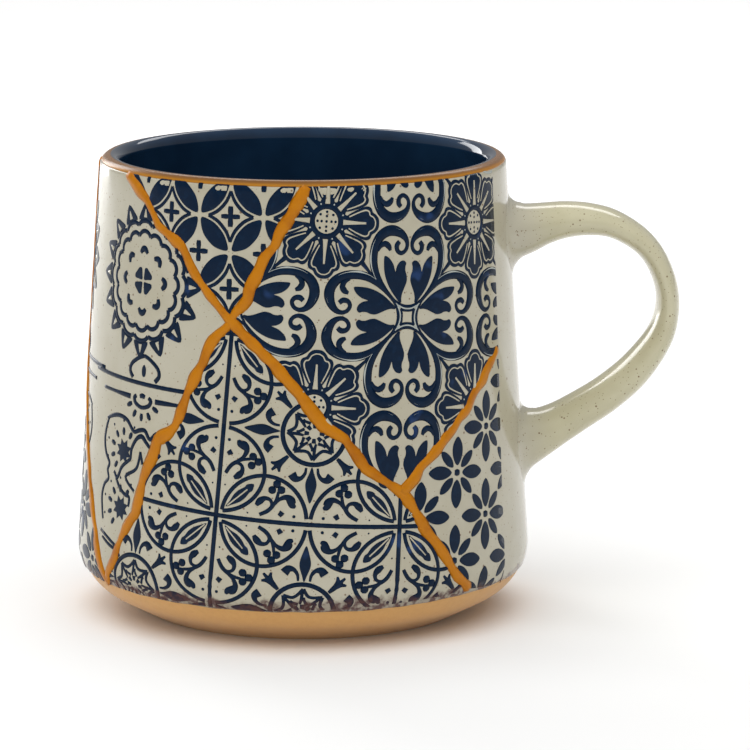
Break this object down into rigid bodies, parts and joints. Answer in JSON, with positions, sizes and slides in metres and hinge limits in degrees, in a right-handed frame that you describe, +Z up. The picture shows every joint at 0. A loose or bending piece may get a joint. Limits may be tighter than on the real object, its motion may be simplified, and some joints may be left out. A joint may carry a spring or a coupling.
{
  "type": "stoneware mug",
  "caption": "Tapered glazed stoneware mug with a loop handle, bare clay foot, patchwork of printed folk patterns and raised ochre lines over the joins.",
  "frame": {"origin": "centre of the foot ring, on the plane the mug stands on", "axes": "+Z up along the mug's axis; +X towards the handle; -Y is the decorated front"},
  "size_m": [0.1316, 0.0992, 0.1],
  "materials": {
    "bare_clay": "matt",
    "joint_slip": "matt",
    "cream_glaze": "glossy",
    "navy_glaze": "glossy",
    "ochre_glaze": "glossy",
    "pattern_print": "glossy"
  },
  "bodies": {
    "root": {"clay_body": "bare_clay", "handle": "bare_clay", "upper_slip_joint": "joint_slip", "lower_slip_joint": "joint_slip", "outer_glaze": "cream_glaze", "handle_glaze": "cream_glaze", "inner_glaze": "navy_glaze", "rim_band": "ochre_glaze", "front_long_line": "ochre_glaze", "front_upper_line": "ochre_glaze", "front_lower_line": "ochre_glaze", "front_branch_line": "ochre_glaze", "front_side_line": "ochre_glaze", "back_long_line": "ochre_glaze", "back_upper_line": "ochre_glaze", "back_lower_line": "ochre_glaze", "back_branch_line": "ochre_glaze", "back_side_line": "ochre_glaze", "front_lattice_transfer": "pattern_print", "front_tulip_transfer": "pattern_print", "front_vine_transfer": "pattern_print", "front_rosette_transfer": "pattern_print", "front_petal_transfer": "pattern_print", "side_petal_transfer": "pattern_print", "back_lattice_transfer": "pattern_print", "back_tulip_transfer": "pattern_print", "back_vine_transfer": "pattern_print", "back_rosette_transfer": "pattern_print", "back_petal_transfer": "pattern_print"}
  },
  "joints": []
}
